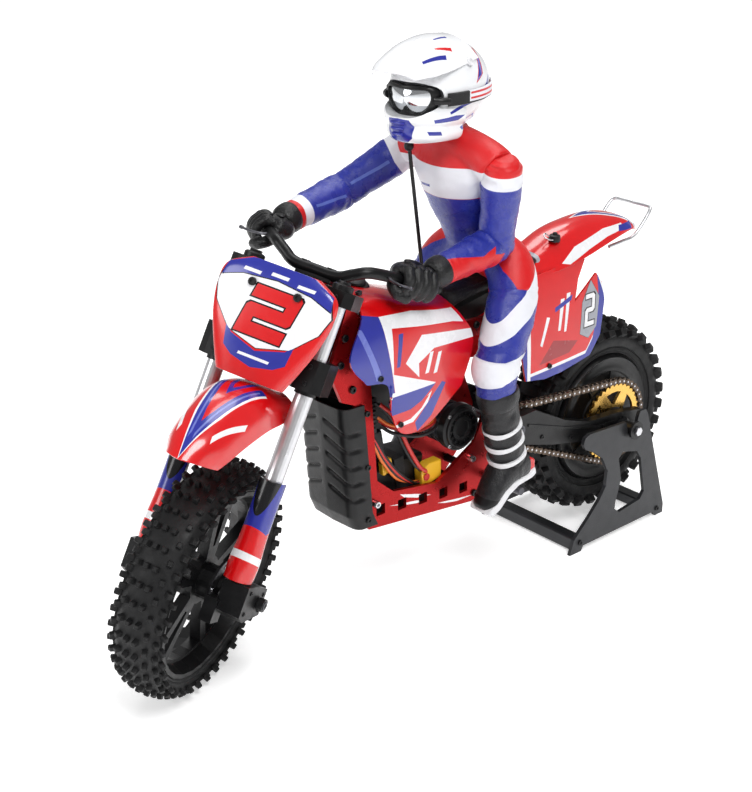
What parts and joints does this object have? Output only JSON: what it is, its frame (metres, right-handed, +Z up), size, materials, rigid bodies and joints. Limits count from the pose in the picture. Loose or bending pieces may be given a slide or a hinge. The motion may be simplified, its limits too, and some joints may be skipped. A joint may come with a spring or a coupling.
{
  "type": "radio-controlled motocross bike",
  "caption": "Radio-controlled motocross bike with a steering rider figure, sprung forks and swingarm, chain drive and a two-plate display stand.",
  "frame": {"origin": "on the ground, under the middle of the assembly's box in X and Y; the bike's centre plane is 9.8 mm to the left of it because the steered bars and the rider's right elbow reach further to the right", "axes": "+X forward, +Y to the rider's left, +Z up"},
  "size_m": [0.5375, 0.1504, 0.4045],
  "materials": {
    "painted_steel": "satin",
    "red_anodised": "satin",
    "black_plastic": "matt",
    "red_plastic": "gloss",
    "white_plastic": "gloss",
    "blue_plastic": "satin",
    "rubber": "matt",
    "steel": "satin",
    "dark_steel": "satin",
    "gold": "satin",
    "red_cable": "satin",
    "lens": "gloss"
  },
  "bodies": {
    "stand": {"stand_plate_left": "painted_steel", "stand_plate_right": "painted_steel", "stand_bar_front": "painted_steel", "stand_bar_rear": "painted_steel"},
    "chassis": {"frame_plate_left": "red_anodised", "frame_plate_right": "red_anodised", "backbone": "black_plastic", "skid_tray": "black_plastic", "radiator_guard": "black_plastic", "tank_shroud": "red_plastic", "seat": "black_plastic", "tail_fairing": "red_plastic", "grab_handle": "steel", "motor": "dark_steel", "motor_cover": "black_plastic", "battery": "black_plastic", "steering_servo": "black_plastic", "speed_controller": "black_plastic", "power_lead_red": "red_cable", "motor_lead_black": "black_plastic", "footpeg_bar": "dark_steel", "pivot_shaft": "steel", "rider_torso": "red_plastic", "rider_leg_left": "blue_plastic", "rider_leg_right": "blue_plastic"},
    "steering": {"fork_tube_left": "steel", "fork_tube_right": "steel", "lower_clamp": "black_plastic", "upper_clamp": "black_plastic", "handlebar": "black_plastic", "glove_left": "black_plastic", "glove_right": "black_plastic", "number_plate": "white_plastic", "front_fender": "red_plastic"},
    "fork_lower": {"fork_lower_left": "black_plastic", "fork_lower_right": "black_plastic", "fork_guard_left": "red_plastic", "fork_guard_right": "red_plastic", "front_axle": "steel"},
    "front_wheel": {"front_wheel": "black_plastic", "front_tyre": "rubber"},
    "swingarm": {"swingarm": "black_plastic", "rear_axle": "steel", "drive_chain": "dark_steel"},
    "rear_wheel": {"rear_wheel": "dark_steel", "rear_tyre": "rubber", "rear_sprocket": "gold"},
    "gyro": {"gyro_flywheel": "steel"},
    "drive_sprocket": {"drive_sprocket": "dark_steel"},
    "shock_body": {"shock_body": "steel"},
    "shock_rod": {"shock_rod": "steel", "shock_spring": "red_anodised"},
    "servo_horn": {"servo_horn": "black_plastic"},
    "head": {"helmet": "white_plastic", "goggles": "lens"},
    "head_rod": {"head_link_rod": "black_plastic"},
    "upper_arm_left": {"upper_arm_left": "red_plastic"},
    "forearm_left": {"forearm_left": "red_plastic"},
    "upper_arm_right": {"upper_arm_right": "red_plastic"},
    "forearm_right": {"forearm_right": "red_plastic"}
  },
  "joints": [
    {"name": "lift_off", "type": "slide", "parent": "stand", "child": "chassis", "axis": [0, 0, 1], "range_m": [0, 0.06]},
    {"name": "steer", "type": "hinge", "parent": "chassis", "child": "steering", "pos_m": [0.18361, 0.0098, 0.07859], "axis": [-0.4633, 0, 0.8862], "range_deg": [-57, 3]},
    {"name": "fork_travel", "type": "slide", "parent": "steering", "child": "fork_lower", "axis": [-0.4633, 0, 0.8862], "range_m": [0, 0.018], "stiffness_N_per_m": 1500, "springref_m": -0.012},
    {"name": "front_wheel_spin", "type": "hinge", "parent": "fork_lower", "child": "front_wheel", "pos_m": [0.18993, 0.01343, 0.0819], "axis": [-0.4023, 0.891, -0.2103], "continuous": true},
    {"name": "swingarm_pivot", "type": "hinge", "parent": "chassis", "child": "swingarm", "pos_m": [-0.0713, 0.0098, 0.119], "axis": [0, 1, 0], "range_deg": [0, 11], "stiffness_Nm_per_rad": 6, "springref_deg": -14.32},
    {"name": "rear_wheel_spin", "type": "hinge", "parent": "swingarm", "child": "rear_wheel", "pos_m": [-0.1893, 0.0098, 0.0886], "axis": [0, 1, 0], "continuous": true},
    {"name": "gyro_spin", "type": "hinge", "parent": "swingarm", "child": "gyro", "pos_m": [-0.1893, 0.0098, 0.0886], "axis": [0, 1, 0], "continuous": true},
    {"name": "drive_sprocket_spin", "type": "hinge", "parent": "chassis", "child": "drive_sprocket", "pos_m": [-0.0713, 0.0098, 0.119], "axis": [0, 1, 0], "continuous": true},
    {"name": "shock_tilt", "type": "hinge", "parent": "chassis", "child": "shock_body", "pos_m": [-0.0923, 0.0098, 0.211], "axis": [0, 1, 0], "range_deg": [-3, 0.5]},
    {"name": "shock_slide", "type": "slide", "parent": "shock_body", "child": "shock_rod", "axis": [0, 0, 1], "range_m": [-0.0005, 0.0045], "deforming": ["shock_spring"]},
    {"name": "servo_horn_turn", "type": "hinge", "parent": "chassis", "child": "servo_horn", "pos_m": [0.0487, 0.0098, 0.2078], "axis": [0, 0, 1], "range_deg": [-57.5, 3.5]},
    {"name": "head_turn", "type": "hinge", "parent": "chassis", "child": "head", "pos_m": [-0.0313, 0.0098, 0.342], "axis": [0, 0, 1], "range_deg": [-21.61, 1.61]},
    {"name": "head_rod_tilt", "type": "hinge", "parent": "chassis", "child": "head_rod", "pos_m": [-0.0113, 0.0088, 0.243], "axis": [0.9717, -0.1999, -0.1259], "range_deg": [-0.87, 7.59]},
    {"name": "shoulder_left", "type": "hinge", "parent": "chassis", "child": "upper_arm_left", "pos_m": [-0.0393, 0.0568, 0.321], "axis": [-0.4899, 0.6664, 0.562], "range_deg": [-71.76, 4.72]},
    {"name": "elbow_left", "type": "hinge", "parent": "upper_arm_left", "child": "forearm_left", "pos_m": [-0.0468, 0.0446, 0.2665], "axis": [-0.6087, 0.3564, 0.7088], "range_deg": [-5.37, 84.04]},
    {"name": "shoulder_right", "type": "hinge", "parent": "chassis", "child": "upper_arm_right", "pos_m": [-0.0393, -0.0372, 0.321], "axis": [0.5168, 0.1273, -0.8466], "range_deg": [-5.63, 89.01]},
    {"name": "elbow_right", "type": "hinge", "parent": "upper_arm_right", "child": "forearm_right", "pos_m": [0.0004, -0.0635, 0.2907], "axis": [-0.4972, -0.1074, 0.861], "range_deg": [-6.73, 109.9]}
  ],
  "couplings": [
    {"joint": "drive_sprocket_spin", "follows": "rear_wheel_spin", "ratio": 3},
    {"joint": "shock_tilt", "follows": "swingarm_pivot", "ratio": -0.223},
    {"joint": "shock_slide", "follows": "swingarm_pivot", "m_per_rad": 0.01951},
    {"joint": "servo_horn_turn", "follows": "steer", "ratio": 1},
    {"joint": "head_turn", "follows": "steer", "ratio": 0.37037},
    {"joint": "head_rod_tilt", "follows": "steer", "ratio": -0.1243},
    {"joint": "shoulder_left", "follows": "steer", "ratio": 1.2414},
    {"joint": "elbow_left", "follows": "steer", "ratio": -1.4569},
    {"joint": "shoulder_right", "follows": "steer", "ratio": -1.5441},
    {"joint": "elbow_right", "follows": "steer", "ratio": -1.9106}
  ]
}
